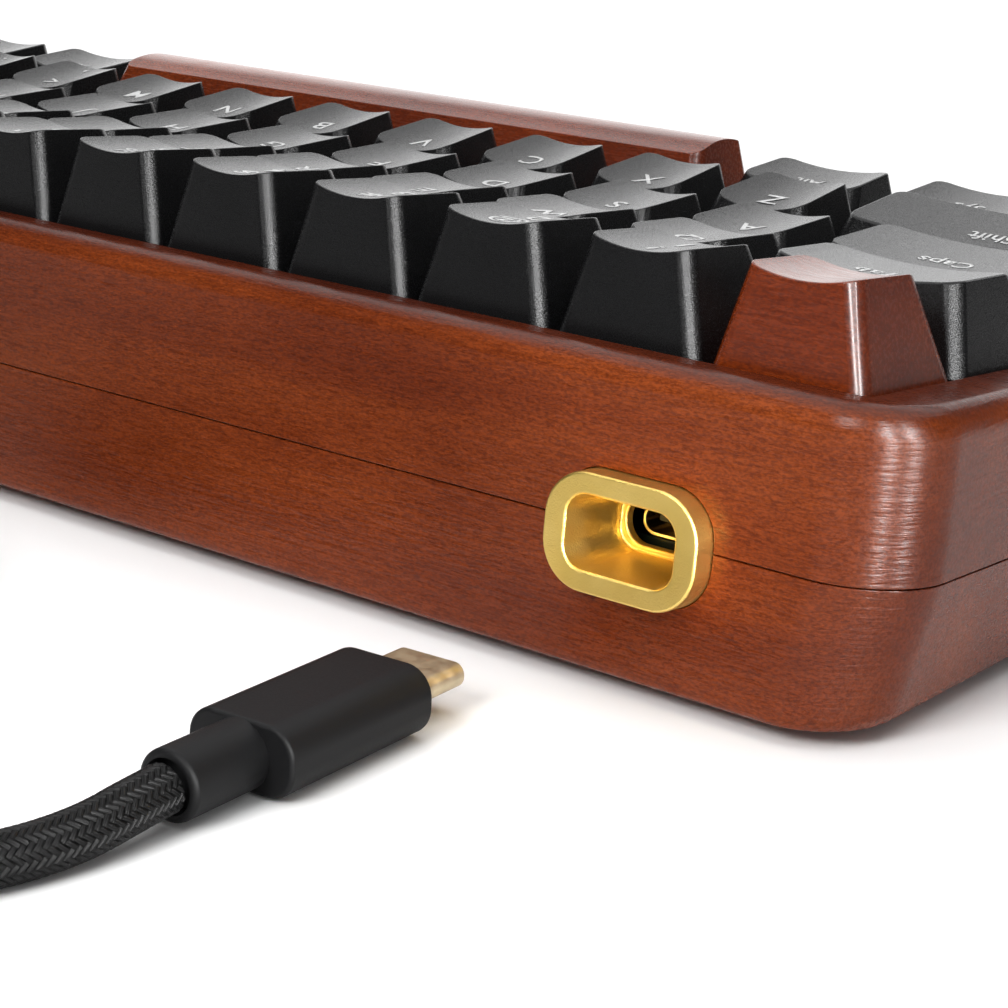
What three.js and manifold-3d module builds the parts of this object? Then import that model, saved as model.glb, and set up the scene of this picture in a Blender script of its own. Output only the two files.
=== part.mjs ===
// A 61-key mechanical keyboard in a two-part wooden case, with its braided cable
// lying unplugged behind it.  Millimetres, +Z up, +Y away from the typist, +X to
// the typist's right.  The origin is on the desk, under the middle of the case.
import * as THREE from 'three';
import { mergeVertices } from 'three/addons/utils/BufferGeometryUtils.js';
import Module from 'manifold-3d';

const wasm = await Module();
wasm.setup();

// ---------------------------------------------------------------- driving sizes
const UNIT = 19.05;               // key pitch
const ROWS = 5;
const COLUMNS = 15;               // widest row, in key units
const TYPING_ANGLE = 4;           // degrees, the key deck rises to the rear
const GAP = 0.3;                  // clearance between pieces that touch

const CASE = {
  sideRim: 8.7,                   // wood outside the key field, left and right
  rearRim: 6.1,                   // and at the front and the rear
  cornerRadius: 9.5,
  rimFillet: 3,                   // rounded top outer edge
  rearHeight: 32.7,               // rim to underside, square to the deck
  partingDrop: 17.15,             // rim to the parting line at the rear
  partingRise: 3,                 // the parting line climbs this much to the front
  sideTaper: 3.4,                 // the lower half draws in at each end
  bottomRound: 1.5,
  floor: 4,
};
const FOOT = { height: 1.2, depth: 8, length: 262, inset: 9 };

const CAP = {
  gap: 0.95,                      // between neighbouring skirts
  drop: 1,                        // skirt below the rim
  wall: 1.4,
  topWidth: 12.4,                 // flat-to-flat at the top of a one-unit key
  dish: 1.1,
};
// Height over the rim and place, from the key's centre, of each row's rear and
// front top edge: rear y, rear z, front y, front z.
const PROFILE = [
  { rearY: 8.3, rearZ: 10.3, frontY: -3.7, frontZ: 10.2 },
  { rearY: 6.8, rearZ: 8.7, frontY: -5.3, frontZ: 8.9 },
  { rearY: 6.3, rearZ: 7.8, frontY: -6.3, frontZ: 9.3 },
  { rearY: 5.2, rearZ: 8.5, frontY: -6.8, frontZ: 11.2 },
  { rearY: 3.6, rearZ: 9.3, frontY: -6.8, frontZ: 11.2 },
];
const SPACE_PROFILE = { rearY: 4.6, rearZ: 10.6, frontY: -6.8, frontZ: 12 };

const PLATE = { top: -7.6, thickness: 1.5, cutout: 14 };
const SWITCH = {
  flange: 15.6, flangeHeight: 1, top: -1.6, topWidth: 8.6,
  lower: 13.4, bore: 7, boreFloor: -9.2, stem: 5.4, stemBottom: -4,
};
const BOARD = { top: -12.6, thickness: 1.6, halfDepth: 45.8 };

const PORT = {
  x: -122.4, z: -17.55,           // middle of the port, in the deck's frame
  width: 18.3, height: 12.2, radius: 5,
  proud: 2.8, depth: 10.2,        // in front of the wood, and front to back
  mouth: [13.1, 7.7, 2.5], throat: [11.7, 6.3, 2.2], hole: [10.4, 4.8, 2.3],
  throatDepth: 8.9,
};
const SOCKET = { width: 9, height: 3.3, wall: 0.35, length: 7.3, face: 45.7 };
const USB_BOARD = { width: 22, depth: 14, thickness: 1 };

const TRAVEL = 4;                 // how far a key goes down
const WIRE = { radius: 0.8, arm: 9, height: 1.7 };   // the long keys' stabiliser wires

// The cable: 1.5 m of braided cord with a plug at each end, all on the desk.
const CORD = { diameter: 4.8, sides: 10 };
const LIFT = 0.05;                // cord over the desk
const PLUG_C = {
  nose: [-109.4, 67.5], turn: 3.9,         // degrees from pointing straight at the case
  shell: { width: 8.34, height: 2.56, length: 7.5 },
  body: { width: 12.2, height: 6.6, length: 21, radius: 2.9 },
  sleeve: { length: 9.6, from: 7.2, to: 7.2 },
  axis: 3.7,                               // height of the axis over the desk
};
const PLUG_A = {
  nose: [34, 69.5], turn: 11.5,
  shell: { width: 12, height: 4.5, length: 12 },
  body: { width: 15.6, height: 7.6, length: 22, radius: 2.2 },
  sleeve: { length: 9, from: 7.2, to: 6 },
  axis: 3.9,
};
// The spare length lies in a flat coil of two layers behind the case.
const COIL = { x: -30, y: 110, outer: 36, turnsPerLayer: 4, layers: 2 };
// From the first plug to the coil, and from the coil to the second plug.
const LEAD = [
  [-112.03, 106.1, 3.7], [-112.3, 110.5, 3.4], [-112.2, 115.5, 2.8], [-111.3, 121, 2.5],
  [-109.4, 127, 2.5], [-106.6, 132.6, 2.5], [-102.4, 137.4, 2.5], [-97, 141.2, 2.5],
  [-90.8, 143.9, 2.5], [-84, 145.5, 2.5], [-76.5, 146.3, 2.5], [-69, 146.6, 2.5],
  [-61.5, 146.7, 2.5], [-50.5, 146.6, 2.5],
];
const TAIL = [
  [-5, 143, 4.9], [0, 141.1, 3.9], [5, 138.9, 3.1], [11.5, 135, 2.6], [17, 130, 2.7],
  [21.2, 124.2, 3.2], [24, 118, 3.7], [25.3, 112.3, 3.9],
];

// --------------------------------------------------------------------- finishes
const finish = (color, roughness, metalness = 0) =>
  new THREE.MeshStandardMaterial({ color, roughness, metalness });
const WOOD = finish(0x6e2f17, 0.38);
const BLACK_CAP = finish(0x1b1b1d, 0.6);
const GOLD = finish(0xc9a240, 0.35, 1);
const STEEL = finish(0x9a9ca0, 0.35, 1);
const DARK_PLASTIC = finish(0x141416, 0.5);
const BOARD_GREEN = finish(0x12301f, 0.5);
const RUBBER = finish(0x101010, 0.85);
const BRAID = finish(0x18181a, 0.8);
const PLUG_BLACK = finish(0x17171a, 0.55);

// ---------------------------------------------------------------- solid helpers
function toSolid(geometry) {
  const bare = geometry.clone();
  bare.deleteAttribute('normal');
  bare.deleteAttribute('uv');
  const merged = mergeVertices(bare, 1e-4);
  return new wasm.Manifold(new wasm.Mesh({
    numProp: 3,
    vertProperties: new Float32Array(merged.attributes.position.array),
    triVerts: new Uint32Array(merged.index.array),
  }));
}

function toGeometry(solid) {
  const { vertProperties, triVerts } = solid.getMesh();
  const geometry = new THREE.BufferGeometry();
  geometry.setAttribute('position', new THREE.BufferAttribute(vertProperties, 3));
  geometry.setIndex(new THREE.BufferAttribute(triVerts, 1));
  geometry.computeVertexNormals();
  return geometry;
}

// A closed solid through rings of [x, y, z] points with equal counts, given from
// the bottom up, each running anticlockwise as seen from above.
function loft(rings) {
  const count = rings[0].length;
  const index = [];
  for (let r = 0; r + 1 < rings.length; r++) {
    for (let i = 0; i < count; i++) {
      const j = (i + 1) % count;
      const [a, b] = [r * count + i, r * count + j];
      index.push(a, b, b + count, a, b + count, a + count);
    }
  }
  const last = (rings.length - 1) * count;
  for (let i = 1; i + 1 < count; i++) {
    index.push(0, i + 1, i);
    index.push(last, last + i, last + i + 1);
  }
  const geometry = new THREE.BufferGeometry();
  geometry.setAttribute('position', new THREE.Float32BufferAttribute(rings.flat(2), 3));
  geometry.setIndex(index);
  return toSolid(geometry);
}

// Corner arcs of a rectangle of the given half sizes, as [x, y] points.
function roundedRect(halfX, halfY, radius, steps = 5) {
  const points = [];
  const corners = [[1, 1, 0], [-1, 1, 90], [-1, -1, 180], [1, -1, 270]];
  for (const [sx, sy, start] of corners) {
    for (let s = 0; s <= steps; s++) {
      const angle = THREE.MathUtils.degToRad(start + 90 * s / steps);
      points.push([
        sx * (halfX - radius) + radius * Math.cos(angle),
        sy * (halfY - radius) + radius * Math.sin(angle),
      ]);
    }
  }
  return points;
}

const atHeight = (points, height) =>
  points.map(([x, y]) => [x, y, typeof height === 'function' ? height(y) : height]);

function block(x0, x1, y0, y1, z0, z1) {
  const corners = [[x1, y1], [x0, y1], [x0, y0], [x1, y0]];
  return loft([atHeight(corners, z0), atHeight(corners, z1)]);
}

const square = (half) => [[half, half], [-half, half], [-half, -half], [half, -half]];

// A prism along Y: the rounded section lies in X and Z, around a centre.
function tunnel(sections, x, z) {
  const rearward = [...sections].sort((a, b) => a[0] - b[0]);
  const rings = rearward.map(([y, width, height, radius]) =>
    roundedRect(width / 2, height / 2, radius, 4).map(([u, v]) => [x + u, y, z - v]));
  return loft(rings);
}

const unite = (solids) => solids.reduce((whole, next) => whole.add(next));

// ------------------------------------------------------------------- the key map
// Each row lists name and width in key units.  The keys named null, at each row's
// right-hand end, are joined into one piece.
const LAYOUT = [
  [['esc', 1], ['1', 1], ['2', 1], ['3', 1], ['4', 1], ['5', 1], ['6', 1], ['7', 1],
    [null, 1], [null, 1], [null, 1], [null, 1], [null, 1], [null, 2]],
  [['tab', 1.5], ['q', 1], ['w', 1], ['e', 1], ['r', 1], ['t', 1], ['y', 1], ['u', 1],
    [null, 1], [null, 1], [null, 1], [null, 1], [null, 1], [null, 1.5]],
  [['caps', 1.75], ['a', 1], ['s', 1], ['d', 1], ['f', 1], ['g', 1], ['h', 1], ['j', 1],
    [null, 1], [null, 1], [null, 1], [null, 1], [null, 2.25]],
  [['left_shift', 2.25], ['z', 1], ['x', 1], ['c', 1], ['v', 1], ['b', 1], ['n', 1],
    ['m', 1], [null, 1], [null, 1], [null, 1], [null, 2.75]],
  [['left_ctrl', 1.25], ['super', 1.25], ['left_alt', 1.25], ['space', 6.25],
    ['right_alt', 1.25], ['fn', 1.25], ['menu', 1.25], ['right_ctrl', 1.25]],
];

const FIELD_X = COLUMNS * UNIT / 2;
const FIELD_Y = ROWS * UNIT / 2;
const keys = [];
LAYOUT.forEach((row, r) => {
  let left = -FIELD_X;
  for (const [name, units] of row) {
    const x = left + units * UNIT / 2;
    keys.push({ name, row: r, units, x, y: FIELD_Y - (r + 0.5) * UNIT });
    left += units * UNIT;
  }
});

// ----------------------------------------------------------------------- keycaps
// Cap and stem are one solid: outer tapered body with a scooped top, hollow from
// below, with the switch stem hanging from its roof.
function keycap({ name, row, units }) {
  const profile = name === 'space' ? SPACE_PROFILE : PROFILE[row];
  const scoop = name === 'space' ? -CAP.dish : CAP.dish;
  const base = (units * UNIT - CAP.gap) / 2;
  const top = base - (UNIT - CAP.gap - CAP.topWidth) / 2;
  const skirt = (UNIT - CAP.gap) / 2;
  const { rearY, rearZ, frontY, frontZ } = profile;
  const columns = [-1, -0.5, 0, 0.5, 1];
  const sag = (t) => scoop * (1 - t * t);
  const lower = [];
  const upper = [];
  for (const t of [...columns].reverse()) {
    lower.push([t * base, skirt, -CAP.drop]);
    upper.push([t * top, rearY, rearZ - sag(t)]);
  }
  for (const t of columns) {
    lower.push([t * base, -skirt, -CAP.drop]);
    upper.push([t * top, frontY, frontZ - sag(t)]);
  }
  const count = lower.length;
  const index = [];
  for (let i = 0; i < count; i++) {
    const j = (i + 1) % count;
    index.push(i, j, j + count, i, j + count, i + count);
  }
  for (let i = 1; i + 1 < count; i++) index.push(0, i + 1, i);
  for (let i = 0; i + 1 < columns.length; i++) {
    const [a, b, c, d] = [i, i + 1, count - 2 - i, count - 1 - i].map((k) => k + count);
    index.push(a, b, c, a, c, d);
  }
  const geometry = new THREE.BufferGeometry();
  geometry.setAttribute('position',
    new THREE.Float32BufferAttribute([...lower, ...upper].flat(), 3));
  geometry.setIndex(index);

  const roof = Math.min(rearZ, frontZ) - CAP.dish - 1.6;
  const hollowX = base - CAP.wall;
  const hollowY = skirt - CAP.wall;
  const shrink = 2.4;
  const hollow = loft([
    atHeight([[hollowX, hollowY], [-hollowX, hollowY], [-hollowX, -hollowY],
      [hollowX, -hollowY]], -CAP.drop - 1),
    atHeight([[hollowX - shrink, rearY - CAP.wall], [-hollowX + shrink, rearY - CAP.wall],
      [-hollowX + shrink, frontY + CAP.wall], [hollowX - shrink, frontY + CAP.wall]], roof),
  ]);
  const half = SWITCH.stem / 2;
  const stem = loft([
    atHeight(square(half), SWITCH.stemBottom), atHeight(square(half), roof + 1),
  ]);
  return toSolid(geometry).subtract(hollow).add(stem);
}

// The right-hand keys as one piece: thin bars inside the rear skirts join each
// row, and a short bridge joins each row to the one in front.
function joinedKeys() {
  const members = keys.filter((key) => key.name === null);
  const solids = members.map((key) => keycap(key).translate([key.x, key.y, 0]));
  const [low, high] = [-CAP.drop + 0.1, 0.6];
  const rows = [...new Set(members.map((key) => key.row))];
  for (const r of rows) {
    const row = members.filter((key) => key.row === r);
    const skirt = row[0].y + (UNIT - CAP.gap) / 2;
    solids.push(block(row[0].x, row[row.length - 1].x, skirt - 1.3, skirt - 0.5, low, high));
    if (r > 0) {
      const x = row[1].x;
      solids.push(block(x - 1.5, x + 1.5, skirt - 1.3, skirt + 2, low, high));
    }
  }
  return unite(solids);
}

// ------------------------------------------------------------ plate and switches
function switchPlate() {
  const edge = 0.2;
  let plate = block(-FIELD_X + edge, FIELD_X - edge, -FIELD_Y + edge, FIELD_Y - edge,
    PLATE.top - PLATE.thickness, PLATE.top);
  const half = PLATE.cutout / 2;
  const cut = loft([
    atHeight(square(half), PLATE.top - 3), atHeight(square(half), PLATE.top + 3),
  ]);
  for (const key of keys) plate = plate.subtract(cut.translate([key.x, key.y, 0]));
  return plate;
}

function switchHousings() {
  const flangeFoot = PLATE.top + GAP;
  const body = loft([
    atHeight(square(SWITCH.lower / 2), BOARD.top + GAP),
    atHeight(square(SWITCH.lower / 2), flangeFoot),
    atHeight(square(SWITCH.flange / 2), flangeFoot),
    atHeight(square(SWITCH.flange / 2), flangeFoot + SWITCH.flangeHeight),
    atHeight(square(SWITCH.topWidth / 2), SWITCH.top),
  ]);
  const bore = loft([
    atHeight(square(SWITCH.bore / 2), SWITCH.boreFloor),
    atHeight(square(SWITCH.bore / 2), SWITCH.top + 1),
  ]);
  const rib = 1.5;
  const ribTop = flangeFoot + 0.5;
  const solids = keys.map((key) => body.translate([key.x, key.y, 0]));
  for (let r = 0; r < ROWS; r++) {
    const row = keys.filter((key) => key.row === r);
    const y = row[0].y;
    solids.push(block(row[0].x, row[row.length - 1].x, y - rib, y + rib, flangeFoot, ribTop));
  }
  solids.push(block(-rib, rib, keys[keys.length - 1].y, keys[0].y, flangeFoot, ribTop));
  let housings = unite(solids);
  for (const key of keys) housings = housings.subtract(bore.translate([key.x, key.y, 0]));
  return housings;
}

function circuitBoard() {
  const halfX = FIELD_X - 0.5;
  return block(-halfX, halfX, -BOARD.halfDepth, BOARD.halfDepth,
    BOARD.top - BOARD.thickness, BOARD.top);
}

// --------------------------------------------------------------------- the case
const CASE_X = FIELD_X + CASE.sideRim;
const CASE_Y = FIELD_Y + CASE.rearRim;
const slope = Math.tan(THREE.MathUtils.degToRad(TYPING_ANGLE));
const underside = (y) => -CASE.rearHeight + slope * (CASE_Y - y);
const parting = (y) => -CASE.partingDrop + CASE.partingRise * (CASE_Y - y) / (2 * CASE_Y);

const outline = (inset, insetX = inset) =>
  roundedRect(CASE_X - insetX, CASE_Y - inset, CASE.cornerRadius - inset);

const portCut = tunnel([
  [CASE_Y + 5, PORT.width + 2 * GAP, PORT.height + 2 * GAP, PORT.radius + GAP],
  [FIELD_Y - 4, PORT.width + 2 * GAP, PORT.height + 2 * GAP, PORT.radius + GAP],
], PORT.x, PORT.z);

const CAVITY_X = FIELD_X + GAP;
const CAVITY_Y = FIELD_Y + GAP;

function caseTop() {
  const rings = [atHeight(outline(0), (y) => parting(y) + GAP / 2)];
  const steps = 4;
  for (let s = 0; s <= steps; s++) {
    const angle = Math.PI / 2 * s / steps;
    const inset = CASE.rimFillet * (1 - Math.cos(angle));
    rings.push(atHeight(outline(inset), CASE.rimFillet * (Math.sin(angle) - 1)));
  }
  const opening = block(-CAVITY_X, CAVITY_X, -CAVITY_Y, CAVITY_Y, -40, 5);
  return loft(rings).subtract(opening).subtract(portCut);
}

function caseBottom() {
  const { bottomRound, sideTaper } = CASE;
  const shell = loft([
    atHeight(outline(bottomRound, bottomRound + sideTaper), underside),
    atHeight(outline(0, sideTaper), (y) => underside(y) + bottomRound),
    atHeight(outline(0), (y) => parting(y) - GAP / 2),
  ]);
  const inside = [[CAVITY_X - 4, CAVITY_Y], [-CAVITY_X + 4, CAVITY_Y],
    [-CAVITY_X + 4, -CAVITY_Y], [CAVITY_X - 4, -CAVITY_Y]];
  const cavity = loft([
    atHeight(inside, (y) => underside(y) + CASE.floor), atHeight(inside, 0),
  ]);
  let tray = shell.subtract(cavity).subtract(portCut);
  const bossTop = BOARD.top - BOARD.thickness - GAP;
  const bossRadius = 3;
  for (const x of [-112, 0, 112]) {
    for (const y of [-41.5, 41.5]) {
      if (x < 0 && y > 0) continue;   // the port's own board sits here
      const ring = roundedRect(bossRadius, bossRadius, bossRadius - 0.01, 2);
      const boss = loft([atHeight(ring, underside(y) + 1), atHeight(ring, bossTop)]);
      tray = tray.add(boss.translate([x, y, 0]));
    }
  }
  return tray;
}

// --------------------------------------------------------------------- the port
const bezelFront = CASE_Y + PORT.proud;
const bezelBack = bezelFront - PORT.depth;

function portBezel() {
  const shell = tunnel([
    [bezelFront, PORT.width, PORT.height, PORT.radius],
    [bezelBack, PORT.width, PORT.height, PORT.radius],
  ], PORT.x, PORT.z);
  const throatY = bezelFront - PORT.throatDepth;
  const funnel = tunnel([
    [bezelFront + 0.01, ...PORT.mouth], [throatY, ...PORT.throat],
  ], PORT.x, PORT.z);
  const hole = tunnel([
    [throatY + 1, ...PORT.hole], [bezelBack - 1, ...PORT.hole],
  ], PORT.x, PORT.z);
  return shell.subtract(funnel).subtract(hole);
}

function usbSocket() {
  const { width, height, wall, length, face } = SOCKET;
  const radius = height / 2 - 0.05;
  const shell = tunnel([
    [face, width, height, radius], [face - length, width, height, radius],
  ], PORT.x, PORT.z);
  const bore = tunnel([
    [face + 1, width - 2 * wall, height - 2 * wall, radius - wall],
    [face - length + 1, width - 2 * wall, height - 2 * wall, radius - wall],
  ], PORT.x, PORT.z);
  const tongue = block(PORT.x - 3.35, PORT.x + 3.35, face - length + 0.5, face - 1.2,
    PORT.z - 0.35, PORT.z + 0.35);
  return shell.subtract(bore).add(tongue);
}

function usbBoard() {
  const top = PORT.z - SOCKET.height / 2 - GAP;
  return block(PORT.x - USB_BOARD.width / 2, PORT.x + USB_BOARD.width / 2,
    SOCKET.face - USB_BOARD.depth, SOCKET.face - 0.5, top - USB_BOARD.thickness, top);
}

// ------------------------------------------------------------- stabiliser wires
// A bent wire whose bar lies in front of the switch and whose two arms reach
// back and up to the long keycap.  Its pivot is the bar, at the local origin.
function stabiliserWire(span) {
  const rise = Math.asin(TRAVEL / WIRE.arm);
  const end = [WIRE.arm * Math.cos(rise), WIRE.arm * Math.sin(rise)];
  const path = new THREE.CurvePath();
  const corners = [
    [-span / 2, end[0], end[1]], [-span / 2, 0, 0], [span / 2, 0, 0],
    [span / 2, end[0], end[1]],
  ].map((p) => new THREE.Vector3(...p));
  for (let i = 0; i + 1 < corners.length; i++) {
    path.add(new THREE.LineCurve3(corners[i], corners[i + 1]));
  }
  const sides = 6;
  const solids = path.curves.map((line) => {
    const section = new THREE.CylinderGeometry(WIRE.radius, WIRE.radius,
      line.getLength() + WIRE.radius, sides);
    const along = line.v2.clone().sub(line.v1).normalize();
    section.applyQuaternion(new THREE.Quaternion()
      .setFromUnitVectors(new THREE.Vector3(0, 1, 0), along));
    const middle = line.getPoint(0.5);
    section.translate(middle.x, middle.y, middle.z);
    return toSolid(section);
  });
  return unite(solids);
}

// -------------------------------------------------------------------- the cable
// Each plug is drawn along +Y, its shell's nose at the origin and its cord end
// behind it, at +Y, with its axis at z = 0.
function plugShell({ width, height, length }) {
  const wall = 0.4;
  const radius = height / 2 - 0.05;
  const outside = tunnel([[0, width, height, radius], [length, width, height, radius]], 0, 0);
  const inside = [width - 2 * wall, height - 2 * wall, Math.max(0.3, radius - wall)];
  return outside.subtract(tunnel([[-1, ...inside], [length - 1, ...inside]], 0, 0));
}

function plugBody({ shell, body, sleeve }) {
  const start = shell.length + GAP;
  const end = start + body.length;
  const { width, height, radius } = body;
  const shoulder = end - 2.5;
  const round = (y, across) => [y, across, across, across / 2 - 0.01];
  return tunnel([
    [start, width, height, radius],
    [shoulder, width, height, radius],
    [end, width - 3, Math.max(height - 1, sleeve.from), radius],
  ], 0, 0).add(tunnel([round(end - 1, sleeve.from), round(end + sleeve.length, sleeve.to)],
    0, 0));
}

function cordTube(points) {
  const route = new THREE.CatmullRomCurve3(points.map((p) => new THREE.Vector3(...p)));
  const section = new THREE.Shape();
  const radius = CORD.diameter / 2;
  for (let i = 0; i < CORD.sides; i++) {
    const turn = 2 * Math.PI * i / CORD.sides;
    const corner = [radius * Math.cos(turn), radius * Math.sin(turn)];
    if (i === 0) section.moveTo(...corner);
    else section.lineTo(...corner);
  }
  const steps = Math.ceil(route.getLength() / (2.2 * CORD.diameter));
  return toSolid(new THREE.ExtrudeGeometry(section, { steps, extrudePath: route }));
}

// The outer shape of the coil: a flat ring with broken edges, closed on itself.
function coilRing() {
  const { outer, turnsPerLayer, layers } = COIL;
  const half = CORD.diameter / 2;
  const far = outer + half;
  const near = outer - turnsPerLayer * CORD.diameter - half;
  const top = layers * CORD.diameter;
  const chamfer = 1.5;
  const profile = [
    [near, chamfer], [near + chamfer, 0], [far - chamfer, 0], [far, chamfer],
    [far, top - chamfer], [far - chamfer, top], [near + chamfer, top], [near, top - chamfer],
    [near, chamfer],
  ].map((p) => new THREE.Vector2(...p));
  const ring = new THREE.LatheGeometry(profile, 24);
  ring.rotateX(Math.PI / 2);
  return toSolid(ring);
}

// -------------------------------------------------------------------- assembly
const keyboard = new THREE.Group();

// The deck group carries everything that is square to the keys.  Its shift puts
// the origin on the desk and in the middle of the whole case, bezel included.
const angle = THREE.MathUtils.degToRad(TYPING_ANGLE);
const [sin, cos] = [Math.sin(angle), Math.cos(angle)];
const undersideHeight = FOOT.height + GAP;            // at the rear, over the desk
const rearReach = bezelFront * cos - (PORT.z - PORT.height / 2) * sin;
const frontReach = CASE_Y * cos - CASE.rimFillet * sin;
const SHIFT_Y = -(rearReach - frontReach) / 2;
const SHIFT_Z = undersideHeight - (CASE_Y * sin + underside(CASE_Y) * cos);

const deck = new THREE.Group();
deck.rotation.x = angle;
deck.position.set(0, SHIFT_Y, SHIFT_Z);
keyboard.add(deck);

function add(parent, name, solid, material, position = [0, 0, 0]) {
  const mesh = new THREE.Mesh(toGeometry(solid), material);
  mesh.name = name;
  mesh.position.set(...position);
  parent.add(mesh);
  return mesh;
}

add(deck, 'case_top', caseTop(), WOOD);
add(deck, 'case_bottom', caseBottom(), WOOD);
add(deck, 'port_bezel', portBezel(), GOLD);
add(deck, 'usb_socket', usbSocket(), STEEL);
add(deck, 'usb_board', usbBoard(), BOARD_GREEN);
add(deck, 'switch_plate', switchPlate(), STEEL);
add(deck, 'switch_housings', switchHousings(), DARK_PLASTIC);
add(deck, 'circuit_board', circuitBoard(), BOARD_GREEN);

for (const key of keys) {
  if (key.name === null) continue;
  const material = key.name === 'esc' || key.name === 'space' ? WOOD : BLACK_CAP;
  add(deck, `key_${key.name}`, keycap(key), material, [key.x, key.y, 0]);
}
add(deck, 'keys_right', joinedKeys(), BLACK_CAP);

const wireHeight = PLATE.top + WIRE.height;
const wireBack = SWITCH.flange / 2 + WIRE.radius + 0.3;
for (const [name, span] of [['space', 100], ['left_shift', 24]]) {
  const key = keys.find((each) => each.name === name);
  const outside = [key.x, key.y - wireBack, wireHeight];
  add(deck, `stabiliser_${name}`, stabiliserWire(span), STEEL, outside);
}

// Two rubber strips carry the case, just clear of its wooden underside.
const footRear = SHIFT_Y + CASE_Y * cos - FOOT.inset;
const footFront = SHIFT_Y - CASE_Y * cos + FOOT.inset;
for (const [name, y] of [['foot_rear', footRear], ['foot_front', footFront]]) {
  const strip = roundedRect(FOOT.length / 2, FOOT.depth / 2, 3, 2);
  add(keyboard, name, loft([atHeight(strip, 0), atHeight(strip, FOOT.height)]), RUBBER,
    [0, y, 0]);
}

// The cable lies behind the case, unplugged, on the same desk.
for (const [name, plug] of [['plug_c', PLUG_C], ['plug_a', PLUG_A]]) {
  const holder = new THREE.Group();
  holder.position.set(...plug.nose, plug.axis);
  holder.rotation.z = THREE.MathUtils.degToRad(plug.turn);
  keyboard.add(holder);
  add(holder, `${name}_shell`, plugShell(plug.shell), GOLD);
  add(holder, `${name}_body`, plugBody(plug), PLUG_BLACK);
}
add(keyboard, 'cable_lead', cordTube(LEAD), BRAID);
add(keyboard, 'cable_coil', coilRing(), BRAID, [COIL.x, COIL.y, LIFT]);
add(keyboard, 'cable_tail', cordTube(TAIL), BRAID);

export default keyboard;
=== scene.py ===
# %% [markdown]
# # A mechanical keyboard in a wooden case
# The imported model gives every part's place. This lesson models the finished looks
# around it: the lacquered case, the keycaps, the gold port and the braided cable.
# Everything is first drawn in millimetres, square to the key deck or to a plug, and
# only then put in its place and turned into metres.

# %% Load the frame
import math

import bmesh
import bpy
from mathutils import Matrix, Quaternion, Vector


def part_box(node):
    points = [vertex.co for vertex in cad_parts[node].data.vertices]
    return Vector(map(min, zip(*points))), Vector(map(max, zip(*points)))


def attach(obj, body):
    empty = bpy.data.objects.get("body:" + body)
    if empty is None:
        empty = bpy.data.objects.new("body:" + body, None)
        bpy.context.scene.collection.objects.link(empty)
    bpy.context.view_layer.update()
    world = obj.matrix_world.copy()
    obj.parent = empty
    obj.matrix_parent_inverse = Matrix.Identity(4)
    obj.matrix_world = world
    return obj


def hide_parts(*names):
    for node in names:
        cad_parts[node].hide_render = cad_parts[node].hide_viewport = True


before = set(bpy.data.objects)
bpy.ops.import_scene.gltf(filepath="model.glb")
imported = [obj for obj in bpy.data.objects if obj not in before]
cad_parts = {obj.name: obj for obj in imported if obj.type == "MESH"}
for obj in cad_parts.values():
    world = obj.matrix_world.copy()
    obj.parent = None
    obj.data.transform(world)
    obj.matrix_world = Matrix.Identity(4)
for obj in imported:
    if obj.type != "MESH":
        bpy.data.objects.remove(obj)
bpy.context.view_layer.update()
MM = 0.001

# %% [markdown]
# The key deck climbs to the rear by the typing angle. The switch plate is a flat slab
# parallel to it, so the middle of its box is a point of the deck that can be trusted,
# and the deck's own origin (middle of the keys, level with the rim) follows from it.

# %% The key deck's place
TYPING_ANGLE = math.radians(4)
PLATE_MIDDLE = -8.35  # the plate's middle under the rim


def middle_of(node):
    low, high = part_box(node)
    return (Vector(low) + Vector(high)) / 2


TURN = Matrix.Rotation(TYPING_ANGLE, 4, "X")
deck_origin = middle_of("switch_plate") - TURN @ Vector((0, 0, PLATE_MIDDLE * MM))
DECK = Matrix.Translation(deck_origin) @ TURN @ Matrix.Scale(MM, 4)
print("deck origin in mm:", [round(v / MM, 2) for v in deck_origin])

# %% [markdown]
# The camera comes first, because what it sees decides where the spare cable may lie.
# It looks down at the rear left corner through a long lens, from a hand's breadth
# above the desk, and leans a little to one side.

# %% The camera
CAMERA_PLACE = Vector((-0.2542, 0.24427, 0.09018))
CAMERA_AIM = Vector((0.58471, -0.75723, -0.29106))
CAMERA_LEAN = math.radians(2.465)
SENSOR = 36.0
LENS = 88.6

camera_data = bpy.data.cameras.new("camera")
camera_data.sensor_width = SENSOR
camera_data.lens = LENS
camera_data.clip_start = 0.01
camera = bpy.data.objects.new("camera", camera_data)
bpy.context.collection.objects.link(camera)
camera.rotation_mode = "QUATERNION"
lean = Quaternion((0, 0, 1), CAMERA_LEAN)
camera.rotation_quaternion = CAMERA_AIM.to_track_quat("-Z", "Y") @ lean
camera.location = CAMERA_PLACE
bpy.context.scene.camera = camera
print("camera lens:", LENS, "mm")

# %% [markdown]
# A few helpers carry the modelling. Each new shape starts as one primitive, is
# selected alone, and gets its form in edit mode, where edges and faces are picked by
# where they lie. settle() puts a finished shape in its place for good.

# %% Helpers for picking and placing


def only(piece):
    bpy.ops.object.select_all(action="DESELECT")
    piece.select_set(True)
    bpy.context.view_layer.objects.active = piece


def block(name, low, high):
    bpy.ops.object.select_all(action="DESELECT")
    bpy.ops.mesh.primitive_cube_add(size=1)
    piece = bpy.context.object
    piece.name = name
    piece.data.name = name
    piece.location = (Vector(low) + Vector(high)) / 2
    piece.scale = Vector(high) - Vector(low)
    bpy.ops.object.transform_apply(location=True, rotation=True, scale=True)
    return piece


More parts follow.
